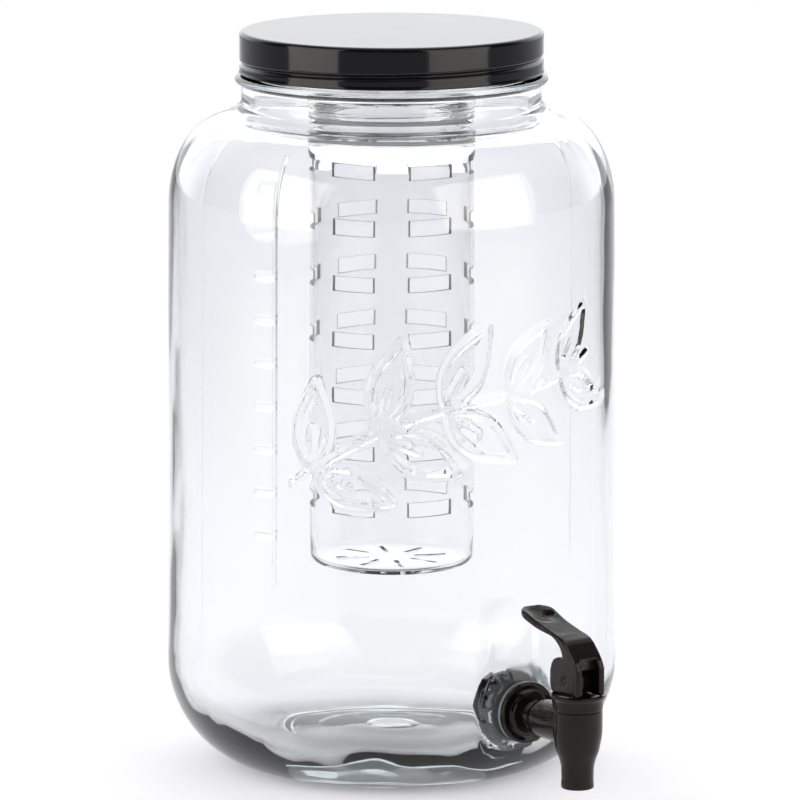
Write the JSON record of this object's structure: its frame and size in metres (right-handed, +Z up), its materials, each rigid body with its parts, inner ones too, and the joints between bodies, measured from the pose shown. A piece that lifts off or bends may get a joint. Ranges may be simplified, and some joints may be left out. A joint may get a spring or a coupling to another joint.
{
  "type": "beverage dispenser",
  "caption": "Clear glass jar dispenser with a screw lid, a hanging slotted infuser and a sprung lever tap near the base.",
  "frame": {"origin": "centre of the base ring, on the table plane, on the jar's axis", "axes": "+Z up along the jar's axis, -Y out of the jar through the tap, +X to the right of someone who faces the tap"},
  "size_m": [0.2244, 0.2876, 0.366],
  "materials": {
    "glass": "clear soda-lime glass, faint green in the thick base",
    "lid_black": "gloss black lacquer on sheet steel",
    "white_liner": "white foam sheet",
    "clear_plastic": "clear moulded plastic",
    "soft_seal": "translucent silicone",
    "tap_black": "semi-gloss black plastic",
    "steel": "stainless steel"
  },
  "bodies": {
    "dispenser": {"jar": "glass", "tap_body": "tap_black", "tap_bonnet": "tap_black", "return_spring": "steel", "outer_gasket": "soft_seal", "inner_gasket": "soft_seal", "slip_washer": "tap_black", "shank_nut": "tap_black"},
    "lid_ring": {"lid_gasket": "soft_seal"},
    "lid_disc": {"lid_liner": "white_liner"},
    "lid": {"lid_shell": "lid_black", "lid_insert": "clear_plastic"},
    "infuser_ring": {"infuser_seal": "soft_seal"},
    "basket": {"infuser": "clear_plastic"},
    "valve": {"valve_stem": "tap_black", "valve_seal": "soft_seal", "lever_pin": "steel"},
    "lever": {"tap_lever": "tap_black"}
  },
  "joints": [
    {"name": "lid_off", "type": "slide", "parent": "dispenser", "child": "lid_ring", "axis": [0, 0, 1], "range_m": [0, 0.28]},
    {"name": "lid_rise", "type": "slide", "parent": "lid_ring", "child": "lid_disc", "axis": [0, 0, 1], "range_m": [0, 0.00801]},
    {"name": "lid_turn", "type": "hinge", "parent": "lid_disc", "child": "lid", "pos_m": [0, 0, 0.35], "axis": [0, 0, 1], "range_deg": [0, 450]},
    {"name": "infuser_drop", "type": "slide", "parent": "lid", "child": "infuser_ring", "axis": [0, 0, -1], "range_m": [0, 0.00779]},
    {"name": "infuser_turn", "type": "hinge", "parent": "infuser_ring", "child": "basket", "pos_m": [0, 0, 0.3188], "axis": [0, 0, -1], "range_deg": [0, 560]},
    {"name": "stem_lift", "type": "slide", "parent": "dispenser", "child": "valve", "axis": [0, 0, 1], "range_m": [0, 0.00234], "deforming": ["return_spring"]},
    {"name": "lever_press", "type": "hinge", "parent": "valve", "child": "lever", "pos_m": [0, -0.1618, 0.0691], "axis": [-1, 0, 0], "range_deg": [0, 15], "stiffness_Nm_per_rad": 0.1, "springref_deg": -8.59}
  ],
  "couplings": [
    {"joint": "lid_rise", "follows": "lid_turn", "m_per_rad": 0.0010186},
    {"joint": "infuser_drop", "follows": "infuser_turn", "m_per_rad": 0.00079577},
    {"joint": "stem_lift", "follows": "lever_press", "m_per_rad": 0.0089}
  ]
}
